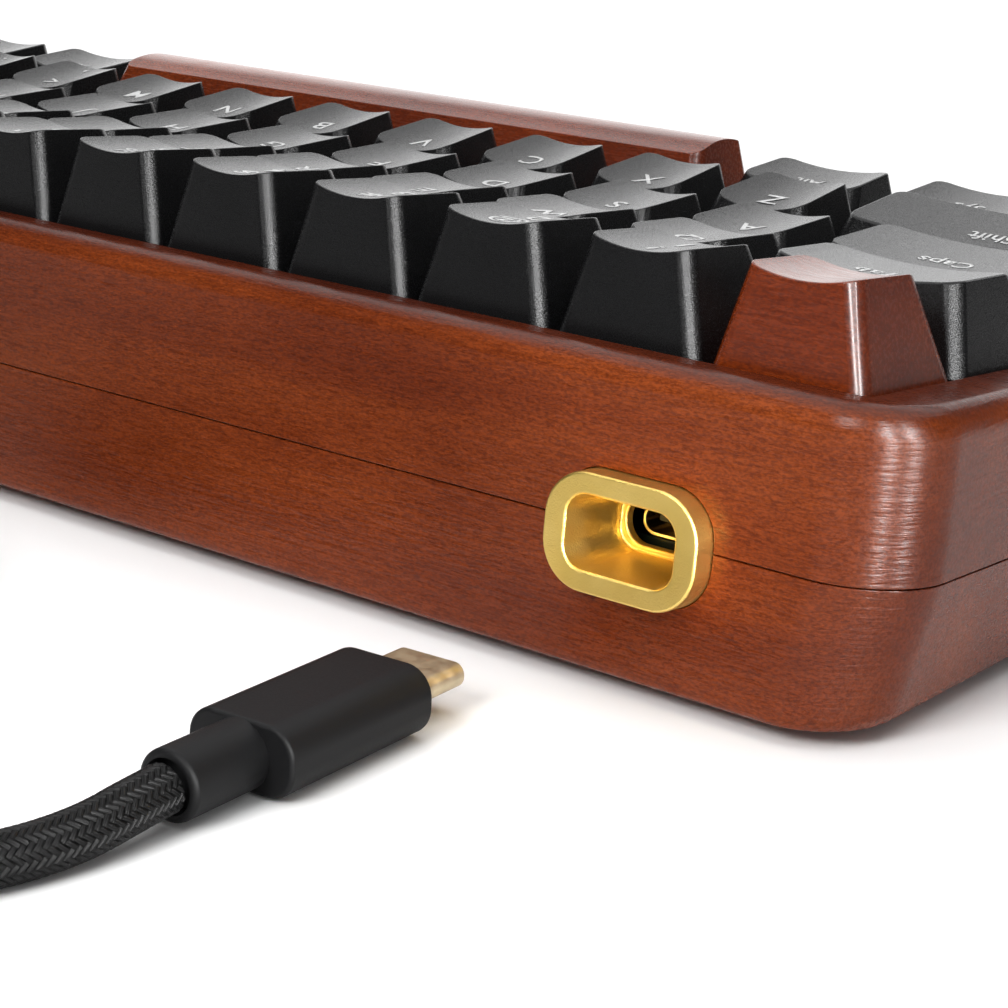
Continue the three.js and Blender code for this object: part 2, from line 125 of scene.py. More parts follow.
def pick(kind, test):
    """In edit mode, select the corners, edges or faces whose middle passes a test."""
    bpy.ops.mesh.select_mode(type=kind)
    bpy.ops.mesh.select_all(action="DESELECT")
    mesh = bmesh.from_edit_mesh(bpy.context.object.data)
    groups = {"VERT": mesh.verts, "EDGE": mesh.edges, "FACE": mesh.faces}
    count = 0
    for part in groups[kind]:
        corners = [part] if kind == "VERT" else list(part.verts)
        middle = sum((v.co for v in corners), Vector()) / len(corners)
        if test(middle, part):
            part.select_set(True)
            count += 1
    mesh.select_flush_mode()
    bmesh.update_edit_mesh(bpy.context.object.data)
    return count


def along(axis):
    """A test for edges that run along an axis, leaning ones included."""

    def test(middle, edge):
        run = edge.verts[1].co - edge.verts[0].co
        return abs(run[axis]) > 0.7 * run.length

    return test


def edit(piece):
    only(piece)
    bpy.ops.object.mode_set(mode="EDIT")


def done():
    bpy.ops.object.mode_set(mode="OBJECT")


def bevel_edges(piece, test, width, segments):
    edit(piece)
    picked = pick("EDGE", test)
    if picked:
        bpy.ops.mesh.bevel(offset=width, segments=segments, affect="EDGES", profile=0.5)
    done()
    return picked


def modify(piece, kind, **settings):
    only(piece)
    modifier = piece.modifiers.new(kind.lower(), kind)
    for key, value in settings.items():
        setattr(modifier, key, value)
    bpy.ops.object.modifier_apply(modifier=modifier.name)


def cut(piece, cutter):
    modify(piece, "BOOLEAN", operation="DIFFERENCE", object=cutter, solver="EXACT")
    bpy.data.objects.remove(cutter, do_unlink=True)


def join_in(piece, other):
    modify(piece, "BOOLEAN", operation="UNION", object=other, solver="EXACT")
    bpy.data.objects.remove(other, do_unlink=True)


def soften(piece, width, segments=2, angle=35):
    """A small bevel on every sharp edge."""
    modify(
        piece,
        "BEVEL",
        width=width,
        segments=segments,
        limit_method="ANGLE",
        angle_limit=math.radians(angle),
        harden_normals=False,
    )


def smooth(piece, angle=40):
    only(piece)
    bpy.ops.object.shade_smooth_by_angle(angle=math.radians(angle))
    modify(piece, "WEIGHTED_NORMAL", keep_sharp=True, weight=90)


def settle(piece, place=DECK):
    only(piece)
    piece.matrix_world = place @ piece.matrix_world
    bpy.ops.object.transform_apply(location=True, rotation=True, scale=True)
    return piece


def rounded_bar(name, middle, size, radius, axis, segments=8):
    """A bar with its four long edges rounded, running along an axis."""
    half = Vector(size) / 2
    bar = block(name, Vector(middle) - half, Vector(middle) + half)
    bevel_edges(bar, along(axis), radius, segments)
    return bar


# %% [markdown]
# ## Finishes
# Every finish is a small node tree on Object coordinates, in metres. A helper adds a
# node and wires its inputs in one call, so each recipe reads as a list of steps.

# %% Helpers for node trees


class Recipe:
    def __init__(self, name, slot):
        self.material = bpy.data.materials.new(name)
        self.material.use_nodes = True
        self.slot = slot
        self.tree = self.material.node_tree
        self.shader = next(n for n in self.tree.nodes if n.type == "BSDF_PRINCIPLED")
        self.shader.inputs["Base Color"].default_value = (0.5, 0.5, 0.5, 1)
        self.place = self.node("ShaderNodeTexCoord").outputs["Object"]

    def node(self, kind, settings=None, **inputs):
        node = self.tree.nodes.new(kind)
        for key, value in (settings or {}).items():
            setattr(node, key, value)
        for key, value in inputs.items():
            socket = node.inputs[key.replace("_", " ")]
            self.feed(socket, value)
        return node

    def feed(self, socket, value):
        if isinstance(value, bpy.types.NodeSocket):
            self.tree.links.new(value, socket)
        else:
            socket.default_value = value

    def math(self, operation, a, b=0.0):
        node = self.tree.nodes.new("ShaderNodeMath")
        node.operation = operation
        self.feed(node.inputs[0], a)
        self.feed(node.inputs[1], b)
        return node.outputs[0]

    def stretched(self, scale):
        return self.node("ShaderNodeMapping", Vector=self.place, Scale=scale).outputs[0]

    def noise(self, scale, detail=3.0, roughness=0.5, place=None, distortion=0.0):
        node = self.node(
            "ShaderNodeTexNoise",
            Vector=place or self.place,
            Scale=scale,
            Detail=detail,
            Roughness=roughness,
            Distortion=distortion,
        )
        return node.outputs["Fac"]

    def ramp(self, value, stops):
        node = self.node("ShaderNodeValToRGB", Fac=value)
        marks = node.color_ramp.elements
        for mark, (position, color) in zip(marks, (stops[0], stops[-1])):
            mark.position = position
            mark.color = (*color, 1)
        for position, color in stops[1:-1]:
            mark = marks.new(position)
            mark.color = (*color, 1)
        return node.outputs["Color"]

    def grey(self, value, low, high, out_low=0.0, out_high=1.0):
        node = self.node("ShaderNodeMapRange", Value=value)
        node.inputs["From Min"].default_value = low
        node.inputs["From Max"].default_value = high
        node.inputs["To Min"].default_value = out_low
        node.inputs["To Max"].default_value = out_high
        return node.outputs["Result"]

    def mix(self, kind, amount, a, b):
        node = self.tree.nodes.new("ShaderNodeMix")
        node.data_type = "RGBA"
        node.blend_type = kind
        self.feed(node.inputs["Factor"], amount)
        for socket, value in ((node.inputs[6], a), (node.inputs[7], b)):
            if isinstance(value, tuple) and len(value) == 3:
                value = (*value, 1)
            self.feed(socket, value)
        return node.outputs[2]

    def bump(self, height, strength, distance, base=None):
        node = self.node("ShaderNodeBump", Height=height, Strength=strength)
        node.inputs["Distance"].default_value = distance
        if base is not None:
            self.feed(node.inputs["Normal"], base)
        return node.outputs["Normal"]

    def finish(self, **inputs):
        for key, value in inputs.items():
            socket = self.shader.inputs[key.replace("_", " ")]
            if isinstance(value, tuple) and len(value) == 3:
                value = (*value, 1)
            self.feed(socket, value)
        return self


def dress(piece, recipe, body):
    piece.data.materials.clear()
    piece.data.materials.append(recipe.material)
    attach(piece, body)


# %% [markdown]
# ### Lacquered wood
# The case is a reddish-brown close-grained hardwood under satin lacquer. Its colour is
# blotchy, with fine streaks along the grain and a dust of darker pores. The streaks
# are noise squeezed across the grain and stretched along it, so the same recipe runs
# over edges and corners without a seam. The flat rim round the keys gets painted
# shade, a darker tint standing in for the keycaps' shade and their dark reflection,
# so the case's recipe also reads the height above the deck. The two wooden keycaps
# have more gloss and less relief.

# %% Wood


COSINE = math.cos(TYPING_ANGLE)
SINE = math.sin(TYPING_ANGLE)
RIM_HEIGHT = DECK.translation.z * COSINE - DECK.translation.y * SINE
# Painted shade on the flat rim: the heights where it starts and ends, how far its edge wanders,
# and its tint.
PAINTED_SHADE_FROM = RIM_HEIGHT - 0.0014
PAINTED_SHADE_TO = RIM_HEIGHT - 0.0002
PAINTED_SHADE_RAGGED = 0.0003  # how far the dark rim's edge wanders
PAINTED_SHADE_TINT = (0.42, 0.36, 0.42)


def wood_recipe(name, slot, roughness, gloss, relief, tint, painted_rim_shade=False):
    r = Recipe(name, slot)
    grain = r.stretched((0.12, 1, 1))
    flecks = r.noise(2300, 3, 0.6, place=grain)
    bands = r.noise(70, 3, 0.55, place=grain, distortion=0.3)
    clouds = r.noise(24, 2, 0.5)
    dust = r.noise(4200, 2, 0.6, place=r.stretched((0.5, 1, 1)))
    base = r.ramp(
        bands,
        [
            (0.3, (0.125, 0.0200, 0.0035)),
            (0.52, (0.18, 0.0330, 0.0060)),
            (0.75, (0.235, 0.0490, 0.0095)),
        ],
    )
    stain = r.ramp(clouds, [(0.32, (0.8, 0.74, 0.7)), (0.68, (1.2, 1.25, 1.25))])
    lines = r.ramp(flecks, [(0.36, (0.74, 0.7, 0.68)), (0.62, (1.2, 1.22, 1.22))])
    pores = r.ramp(dust, [(0.38, (0.5, 0.43, 0.4)), (0.6, (1.32, 1.38, 1.38))])
    color = r.mix("MULTIPLY", 1.0, base, stain)
    color = r.mix("MULTIPLY", 0.45, color, lines)
    color = r.mix("MULTIPLY", 0.65, color, pores)
    color = r.mix("MULTIPLY", 1.0, color, tint)
    # Painted shade: the flat top of the rim is darkened, fading out down its rounded outer edge,
    # for the keycaps' shade and their dark reflection.
    if painted_rim_shade:
        _, y, z = r.node("ShaderNodeSeparateXYZ", Vector=r.place).outputs
        height = r.math("ADD", r.math("MULTIPLY", y, -SINE), r.math("MULTIPLY", z, COSINE))
        ragged = r.math("ADD", height, r.grey(flecks, 0.3, 0.7, -PAINTED_SHADE_RAGGED, PAINTED_SHADE_RAGGED))
        color = r.mix("MULTIPLY", r.grey(ragged, PAINTED_SHADE_FROM, PAINTED_SHADE_TO), color, PAINTED_SHADE_TINT)
    ripples = r.noise(1900, 3, 0.6, place=r.stretched((0.09, 0.09, 1)))
    waves = r.noise(160, 2, 0.5, place=r.stretched((0.5, 0.5, 1)))
    normal = r.bump(dust, 0.6 * relief, 0.00002)
    normal = r.bump(ripples, 0.9 * relief, 0.0001, normal)
    normal = r.bump(waves, 0.5 * relief, 0.0001, normal)
    r.finish(
        Base_Color=color,
        Roughness=r.grey(flecks, 0.3, 0.7, roughness * 0.85, roughness * 1.2),
        Normal=normal,
    )
    r.shader.inputs["IOR"].default_value = gloss
    return r


case_wood = wood_recipe(
    "case_wood", "wood_case", 0.27, 1.29, 1.0, (0.86, 0.77, 0.68), painted_rim_shade=True
)
cap_wood = wood_recipe("cap_wood", "wood_caps", 0.26, 1.46, 0.2, (0.92, 0.66, 0.2))
print("wood finishes ready")

# %% [markdown]
# ### Black keycap plastic, gold, rubber and the rest
# The keycaps have a fine spark-eroded texture: a tiny noise in the bump and a broad,
# soft gloss. The gold parts are bead-blasted, so their grain is finer still.

# %% Plastics and metals
r = Recipe("cap_black", "cap_plastic")
texture = r.noise(8000, 2, 0.5)
wear = r.noise(90, 3, 0.5)
black_cap = r.finish(
    Base_Color=r.ramp(wear, [(0.3, (0.0048, 0.0048, 0.0052)), (0.7, (0.0070, 0.0070, 0.0075))]),
    Roughness=r.grey(texture, 0.3, 0.7, 0.2, 0.32),
    Normal=r.bump(texture, 0.8, 0.00004),
    Specular_IOR_Level=0.22,
)

r = Recipe("gold_blasted", "gold_metal")
grit = r.noise(5200, 2, 0.6)
cloud = r.noise(160, 2, 0.5)
blasted_gold = r.finish(
    Base_Color=r.ramp(cloud, [(0.3, (0.72, 0.5, 0.13)), (0.7, (0.8, 0.58, 0.18))]),
    Metallic=1.0,
    Roughness=r.grey(grit, 0.3, 0.7, 0.3, 0.42),
    Normal=r.bump(grit, 0.6, 0.00007),
)

r = Recipe("gold_polished", "gold_metal")
cloud = r.noise(300, 2, 0.5)
polished_gold = r.finish(
    Base_Color=r.ramp(cloud, [(0.3, (0.62, 0.47, 0.24)), (0.7, (0.68, 0.53, 0.29))]),
    Metallic=1.0,
    Roughness=r.grey(cloud, 0.3, 0.7, 0.16, 0.24),
)

r = Recipe("plug_gold", "gold_metal")
cloud = r.noise(900, 2, 0.5)
satin_gold = r.finish(
    Base_Color=r.ramp(cloud, [(0.3, (0.42, 0.35, 0.23)), (0.7, (0.48, 0.4, 0.27))]),
    Metallic=1.0,
    Roughness=r.grey(cloud, 0.3, 0.7, 0.4, 0.5),
)

r = Recipe("plug_black", "plug_overmould")
skin = r.noise(4200, 2, 0.5)
plug_black = r.finish(
    Base_Color=r.ramp(skin, [(0.3, (0.0065, 0.0065, 0.0070)), (0.7, (0.0088, 0.0088, 0.0094))]),
    Roughness=r.grey(skin, 0.3, 0.7, 0.46, 0.54),
    Normal=r.bump(skin, 0.15, 0.00002),
    Specular_IOR_Level=0.12,
)

r = Recipe("foot_rubber", "foot_rubber")
skin = r.noise(1500, 3, 0.6)
rubber = r.finish(
    Base_Color=r.ramp(skin, [(0.3, (0.012, 0.012, 0.012)), (0.7, (0.024, 0.024, 0.024))]),
    Roughness=0.85,
    Normal=r.bump(skin, 0.4, 0.0001),
)

r = Recipe("plate_black", "plate_metal")
skin = r.noise(900, 3, 0.5)
plate_black = r.finish(
    Base_Color=r.ramp(skin, [(0.3, (0.02, 0.02, 0.022)), (0.7, (0.035, 0.035, 0.037))]),
    Metallic=0.6,
    Roughness=r.grey(skin, 0.3, 0.7, 0.4, 0.55),
)

r = Recipe("switch_plastic", "switch_plastic")
skin = r.noise(2500, 2, 0.5)
switch_plastic = r.finish(
    Base_Color=r.ramp(skin, [(0.3, (0.012, 0.012, 0.013)), (0.7, (0.02, 0.02, 0.021))]),
    Roughness=r.grey(skin, 0.3, 0.7, 0.35, 0.5),
)

r = Recipe("board_mask", "board")
skin = r.noise(700, 4, 0.6)
board_mask = r.finish(
    Base_Color=r.ramp(skin, [(0.35, (0.002, 0.006, 0.004)), (0.65, (0.004, 0.011, 0.007))]),
    Roughness=0.35,
    Normal=r.bump(skin, 0.1, 0.00005),
)

r = Recipe("contact_dark", "socket_steel")
skin = r.noise(2000, 2, 0.5)
dark_tongue = r.finish(
    Base_Color=r.ramp(skin, [(0.3, (0.008, 0.008, 0.009)), (0.7, (0.014, 0.014, 0.015))]),
    Roughness=0.35,
)
r = Recipe("legend_white", "cap_plastic")
skin = r.noise(3000, 2, 0.5)
legend_white = r.finish(
    Base_Color=r.ramp(skin, [(0.3, (0.5, 0.5, 0.5)), (0.7, (0.62, 0.62, 0.62))]),
    Roughness=0.5,
)
print("materials:", len(bpy.data.materials))

# %% [markdown]
# ### Braided sleeve
# Two families of flat strands, each of a few threads, wind round the cord in opposite
# directions, each going over two and under two. On a map with one coordinate along the
# cord and one round it, each family is a set of slanted stripes, and a checker of their
# counts says which of them lies on top.

# %% Braid
STRANDS = 18  # strands in each direction
BRAID_LENGTH = 0.0142  # one strand goes round the cord in this length
THREADS = 4  # threads that each flat strand is made of


def braid_recipe():
    r = Recipe("cord_braid", "cord_braid")
    uv = r.node("ShaderNodeUVMap", {"uv_map": "braid"}).outputs[0]
    split = r.node("ShaderNodeSeparateXYZ", Vector=uv)
    length = split.outputs["X"]  # in turns of a strand
    turn = split.outputs["Y"]  # in whole turns round the cord
    a = r.math("MULTIPLY", r.math("ADD", turn, length), STRANDS)
    b = r.math("MULTIPLY", r.math("SUBTRACT", turn, length), STRANDS)
    count = r.math("ADD", r.math("FLOOR", a), r.math("FLOOR", b))
    half = r.math("MULTIPLY", count, 0.25)
    on_top = r.math("LESS_THAN", r.math("FRACT", half), 0.5)

    def swell(stripe):
        across = r.math("FRACT", stripe)
        return r.math("MULTIPLY", r.math("MULTIPLY", across, r.math("SUBTRACT", 1.0, across)), 4.0)

    def threads(stripe):
        return r.math("PINGPONG", r.math("MULTIPLY", stripe, THREADS), 0.5)

    def chosen(first, second):
        node = r.tree.nodes.new("ShaderNodeMix")
        r.feed(node.inputs["Factor"], on_top)
        r.feed(node.inputs[2], second)
        r.feed(node.inputs[3], first)
        return node.outputs[0]

    height = chosen(swell(a), swell(b))
    fibre = chosen(threads(a), threads(b))
    relief = r.math("ADD", r.math("POWER", height, 0.5), r.math("MULTIPLY", fibre, 0.35))
    # Painted shade and sheen: each strand is darker towards its edges, where it meets its
    # neighbours, and each thread is lighter along its middle.
    painted_sheen_and_shade = r.math("MULTIPLY", height, r.math("ADD", fibre, 0.5))
    tones = [
        (0.05, (0.0005, 0.0005, 0.0005)),
        (0.4, (0.0022, 0.0022, 0.0023)),
        (1.0, (0.009, 0.009, 0.0093)),
    ]
    r.finish(Base_Color=r.ramp(painted_sheen_and_shade, tones), Roughness=0.4, Normal=r.bump(relief, 0.9, 0.00024))
    r.shader.inputs["Specular IOR Level"].default_value = 0.16
    return r


cord_braid = braid_recipe()
print("strands each way:", STRANDS, "threads in each:", THREADS)

# %% [markdown]
# ## The cable
# It lies unplugged behind the case. From the first plug it runs out of the picture in
# an easy curve, and the spare length is wound in a flat coil of two layers behind the
# case, with the second plug beside it. The stretches on either side of the coil are
# listed points; the coil's turns are worked out, one cord's width apart.

# %% The cord's route
CORD = 4.8
LEAD = [
    (-112.03, 106.1, 3.7), (-112.3, 110.5, 3.4), (-112.2, 115.5, 2.8), (-111.3, 121, 2.5),
    (-109.4, 127, 2.5), (-106.6, 132.6, 2.5), (-102.4, 137.4, 2.5), (-97, 141.2, 2.5),
    (-90.8, 143.9, 2.5), (-84, 145.5, 2.5), (-76.5, 146.3, 2.5), (-69, 146.6, 2.5),
    (-61.5, 146.7, 2.5), (-50.5, 146.6, 2.5), (-40, 146.2, 2.5),
]
TAIL = [
    (-22, 145.6, 7.3), (-16, 144.9, 6.8), (-10, 144, 5.9),
    (-5, 143, 4.9), (0, 141.1, 3.9), (5, 138.9, 3.1), (11.5, 135, 2.6), (17, 130, 2.7),
    (21.2, 124.2, 3.2), (24, 118, 3.7), (25.3, 112.3, 3.9),
]
COIL_MIDDLE = (-30, 110)
COIL_OUTER = 36
TURNS_PER_LAYER = 4
POINTS_PER_TURN = 24


def coil_points():
    points = []
    per_layer = TURNS_PER_LAYER * POINTS_PER_TURN
    climb = POINTS_PER_TURN // 4
    for step in range(2 * per_layer + 1):
        done_turns = step / POINTS_PER_TURN
        inward = min(done_turns, 2 * TURNS_PER_LAYER - done_turns)
        radius = COIL_OUTER - CORD * inward
        rise = (step - per_layer + climb) / (2 * climb)
        rise = min(1, max(0, rise))
        rise = rise * rise * (3 - 2 * rise)
        angle = math.pi / 2 - 2 * math.pi * done_turns
        points.append((
            COIL_MIDDLE[0] + radius * math.cos(angle),
            COIL_MIDDLE[1] + radius * math.sin(angle),
            CORD / 2 + 0.1 + CORD * rise,
        ))
    return points


route = [Vector(p) * MM for p in LEAD + coil_points() + TAIL]


def smooth_route(points, steps):
    """Points on the smooth curve through the given ones, and more between them."""
    ends = [2 * points[0] - points[1], *points, 2 * points[-1] - points[-2]]
    result = []
    for i in range(len(points) - 1):
        p0, p1, p2, p3 = ends[i : i + 4]
        for s in range(steps):
            t = s / steps
            result.append(
                0.5 * (2 * p1 + (p2 - p0) * t + (2 * p0 - 5 * p1 + 4 * p2 - p3) * t**2
                       + (3 * p1 - p0 - 3 * p2 + p3) * t**3)
            )
    return [*result, points[-1]]


path = smooth_route(route, 4)

# %% [markdown]
# The cord is one tube of rings carried along the route. Each ring is turned as little
# as possible from the one before, so the braid doesn't twist. Near the first plug the
# rings are close enough for the strands to be real relief; further on the shading
# alone carries them.

# %% The cord
SIDES = 80
FINE_STRETCH = 0.034  # the part of the cord that is modelled strand by strand
FINE_STEP = 0.00019
COARSE_STEP = 0.003
RELIEF = 0.0002


def resample(points):
    """Places along the route, close together at first and then further apart."""
    lengths = [0.0]
    for a, b in zip(points, points[1:]):
        lengths.append(lengths[-1] + (b - a).length)
    stops = []
    at = 0.0
    while at < lengths[-1]:
        stops.append(at)
        at += FINE_STEP if at < FINE_STRETCH else COARSE_STEP
    stops.append(lengths[-1])
    places = []
    i = 0
    for stop in stops:
        while i + 2 < len(lengths) and lengths[i + 1] < stop:
            i += 1
        t = (stop - lengths[i]) / (lengths[i + 1] - lengths[i])
        places.append((stop, points[i].lerp(points[i + 1], t)))
    return places


def strand_height(along_turns, round_turns):
    a = (round_turns + along_turns) * STRANDS
    b = (round_turns - along_turns) * STRANDS
    on_top = (math.floor(a) + math.floor(b)) % 4 < 2
    across = (a if on_top else b) % 1
    return math.sqrt(4 * across * (1 - across))


places = resample(path)
rings, uvs = [], []
side = Vector((1, 0, 0))
for i, (stop, place) in enumerate(places):
    ahead = places[min(i + 1, len(places) - 1)][1]
    behind = places[max(i - 1, 0)][1]
    forward = (ahead - behind).normalized()
    side = (side - forward * side.dot(forward)).normalized()
    up = forward.cross(side)
    along_turns = stop / BRAID_LENGTH
    fade = min(1.0, max(0.0, (FINE_STRETCH - stop) / 0.002))
    for s in range(SIDES):
        round_turns = s / SIDES
        radius = CORD / 2 * MM
        if fade > 0:
            radius += RELIEF * fade * (strand_height(along_turns, round_turns) - 1)
        angle = 2 * math.pi * round_turns
        rings.append(place + (side * math.cos(angle) + up * math.sin(angle)) * radius)
        uvs.append((along_turns, round_turns))

faces = []
face_uvs = []
for i in range(len(places) - 1):
    for s in range(SIDES):
        t = (s + 1) % SIDES
        corners = (i * SIDES + s, i * SIDES + t, (i + 1) * SIDES + t, (i + 1) * SIDES + s)
        faces.append(corners)
        right = (s + 1) / SIDES
        left = s / SIDES
        near = uvs[i * SIDES][0]
        far = uvs[(i + 1) * SIDES][0]
        face_uvs.append(((near, left), (near, right), (far, right), (far, left)))
last = (len(places) - 1) * SIDES
faces.append(tuple(reversed(range(SIDES))))
faces.append(tuple(last + s for s in range(SIDES)))
face_uvs.extend([[(0.0, 0.0)] * SIDES] * 2)

mesh = bpy.data.meshes.new("cable")
mesh.from_pydata([tuple(p) for p in rings], [], faces)
layer = mesh.uv_layers.new(name="braid")
layer.data.foreach_set("uv", [v for face in face_uvs for uv in face for v in uv])
mesh.polygons.foreach_set("use_smooth", [len(f) == 4 for f in faces])
mesh.update()
cable = bpy.data.objects.new("cable", mesh)
bpy.context.collection.objects.link(cable)
dress(cable, cord_braid, "case")
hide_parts("cable_lead", "cable_coil", "cable_tail")
print("cable rings:", len(places), "faces:", len(faces))

# %% [markdown]
# ## The case
# Two shells of solid wood meet at a thin parting line that climbs a little towards the
# front. The upper one starts as a box: its upright corners and its top edge are
# rounded by bevels, and the well for the keys and the hole for the port are cut out.

# %% The upper shell
UNIT = 19.05
FIELD_X = 15 * UNIT / 2
FIELD_Y = 5 * UNIT / 2
CASE_X = FIELD_X + 8.7
CASE_Y = FIELD_Y + 6.1
CORNER = 9.5
RIM_ROUND = 3.0
PARTING_REAR = -17.15
PARTING_FRONT = -14.15
PARTING_GAP = 0.12
SEAM_ROUND = 0.14
WELL_GAP = 0.3
REAR_HEIGHT = 32.7
SIDE_TAPER = 3.4
PORT_X = -122.4
PORT_Z = -17.55
BEZEL = (18.3, 10.2, 12.2)
BEZEL_ROUND = 5.0
BEZEL_FRONT = CASE_Y + 2.8


def port_hole():
    size = (BEZEL[0] + 0.2, 24, BEZEL[2] + 0.2)
    middle = (PORT_X, CASE_Y, PORT_Z)
    return rounded_bar("port_hole", middle, size, BEZEL_ROUND + 0.1, 1, 12)


def key_well(low):
    reach = Vector((FIELD_X + WELL_GAP, FIELD_Y + WELL_GAP, 0))
    well = block("well", -reach + Vector((0, 0, low)), reach + Vector((0, 0, 9)))
    bevel_edges(well, along(2), 0.8, 3)
    return well


upper = block("upper_case", (-CASE_X, -CASE_Y, -20), (CASE_X, CASE_Y, 0))
edit(upper)
for sign, height in ((1, PARTING_REAR), (-1, PARTING_FRONT)):
    pick("VERT", lambda m, v: m.z < -10 and m.y * sign > 0)
    bpy.ops.transform.translate(value=(0, 0, height + PARTING_GAP / 2 + 20))
done()
bevel_edges(upper, along(2), CORNER, 14)
bevel_edges(upper, lambda m, e: all(v.co.z > -0.01 for v in e.verts), RIM_ROUND, 8)
cut(upper, key_well(-60))
cut(upper, port_hole())


def on_well_rim(m, e):
    inside = abs(m.x) < FIELD_X + 0.5 and abs(m.y) < FIELD_Y + 0.5
    return inside and all(v.co.z > -0.01 for v in e.verts)


bevel_edges(upper, on_well_rim, 0.5, 3)
soften(upper, SEAM_ROUND, 2)
smooth(upper)
settle(upper)
dress(upper, case_wood, "case")
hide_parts("case_top")
print("upper case faces:", len(upper.data.polygons))

# %% [markdown]
# The lower shell is a wedge: its underside is level with the desk while its top
# follows the parting line, and its two ends lean in. The same bevels round it, and
# the inside is cut out to leave a floor and walls.

# %% The lower shell
SLOPE = math.tan(TYPING_ANGLE)
UNDER_REAR = -REAR_HEIGHT
UNDER_FRONT = -REAR_HEIGHT + SLOPE * 2 * CASE_Y
FLOOR = 4.0
END_WALL = 13.0

lower = block("lower_case", (-CASE_X, -CASE_Y, -30), (CASE_X, CASE_Y, 0))
edit(lower)
for sign, top, bottom in ((1, PARTING_REAR, UNDER_REAR), (-1, PARTING_FRONT, UNDER_FRONT)):
    pick("VERT", lambda m, v: m.z > -10 and m.y * sign > 0)
    bpy.ops.transform.translate(value=(0, 0, top - PARTING_GAP / 2))
    pick("VERT", lambda m, v: m.z < -20 and m.y * sign > 0)
    bpy.ops.transform.translate(value=(0, 0, bottom + 30))
for sign in (-1, 1):
    pick("VERT", lambda m, v: v.co.x * sign > 0 and v.co.z < -22)
    bpy.ops.transform.translate(value=(-sign * SIDE_TAPER, 0, 0))
done()
bevel_edges(lower, along(2), CORNER, 14)


def on_underside(m, e):
    level = [UNDER_REAR + SLOPE * (CASE_Y - v.co.y) for v in e.verts]
    return all(abs(v.co.z - z) < 0.2 for v, z in zip(e.verts, level))


bevel_edges(lower, on_underside, 1.8, 5)
hollow = block("hollow", (-CASE_X + END_WALL, -FIELD_Y, -40), (CASE_X - END_WALL, FIELD_Y, 5))
edit(hollow)
for sign, bottom in ((1, UNDER_REAR), (-1, UNDER_FRONT)):
    pick("VERT", lambda m, v: m.z < -20 and m.y * sign > 0)
    bpy.ops.transform.translate(value=(0, 0, bottom + FLOOR + 40))
done()
cut(lower, hollow)
cut(lower, port_hole())
soften(lower, SEAM_ROUND, 2)
smooth(lower)
settle(lower)
dress(lower, case_wood, "case")
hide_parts("case_bottom")
print("lower case faces:", len(lower.data.polygons))

# %% [markdown]
# ## The port
# The gold bezel is a rounded bar drilled with a funnel: a wide mouth that narrows
# towards a smaller hole, with the socket waiting behind. Each hollow is a cutter with
# its own rounded edges. Crisp little bevels at the front catch the light.

# %% Bezel
bezel_middle = (PORT_X, BEZEL_FRONT - BEZEL[1] / 2, PORT_Z)
bezel = rounded_bar("bezel", bezel_middle, BEZEL, BEZEL_ROUND, 1, 12)
MOUTH = (13.1, 7.7)
THROAT = (11.7, 6.3)
THROAT_DEPTH = 8.9
HOLE = (10.4, 4.8)

funnel = block(
    "funnel",
    (PORT_X - THROAT[0] / 2, BEZEL_FRONT - THROAT_DEPTH, PORT_Z - THROAT[1] / 2),
    (PORT_X + THROAT[0] / 2, BEZEL_FRONT, PORT_Z + THROAT[1] / 2),
)
edit(funnel)
pick("FACE", lambda m, f: m.y > BEZEL_FRONT - 0.1)
bpy.ops.transform.resize(
    value=(MOUTH[0] / THROAT[0], 1, MOUTH[1] / THROAT[1]),
    center_override=(PORT_X, BEZEL_FRONT, PORT_Z),
)
bpy.ops.mesh.extrude_region_move(TRANSFORM_OT_translate={"value": (0, 2, 0)})
done()
bevel_edges(funnel, along(1), 2.4, 8)
cut(bezel, funnel)
hole_middle = (PORT_X, BEZEL_FRONT - 9.5, PORT_Z)
cut(bezel, rounded_bar("hole", hole_middle, (HOLE[0], 5, HOLE[1]), 2.3, 1, 8))
soften(bezel, 0.32, 3)
smooth(bezel)
settle(bezel)
dress(bezel, blasted_gold, "case")
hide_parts("port_bezel")
print("bezel faces:", len(bezel.data.polygons))

# %% [markdown]
# The socket is a drawn metal shell round a dark tongue. The tongue carries the
# contacts, small gold strips on both of its faces.

# %% Socket
SOCKET = (9.0, 7.3, 3.3)
SOCKET_FACE = 45.7
SOCKET_WALL = 0.35

socket_middle = (PORT_X, SOCKET_FACE - SOCKET[1] / 2, PORT_Z)
socket = rounded_bar("socket_shell", socket_middle, SOCKET, 1.6, 1, 8)
inside = (SOCKET[0] - 2 * SOCKET_WALL, SOCKET[1], SOCKET[2] - 2 * SOCKET_WALL)
inside_middle = (PORT_X, SOCKET_FACE - SOCKET[1] / 2 + 1, PORT_Z)
cut(socket, rounded_bar("bore", inside_middle, inside, 1.25, 1, 8))
soften(socket, 0.08, 2)
smooth(socket)
settle(socket)
dress(socket, polished_gold, "case")
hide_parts("usb_socket")

tongue = block(
    "socket_tongue",
    (PORT_X - 3.35, SOCKET_FACE - SOCKET[1] + 0.8, PORT_Z - 0.35),
    (PORT_X + 3.35, SOCKET_FACE - 1.2, PORT_Z + 0.35),
)
soften(tongue, 0.15, 2)
smooth(tongue)
settle(tongue)
dress(tongue, dark_tongue, "case")
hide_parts("usb_socket")

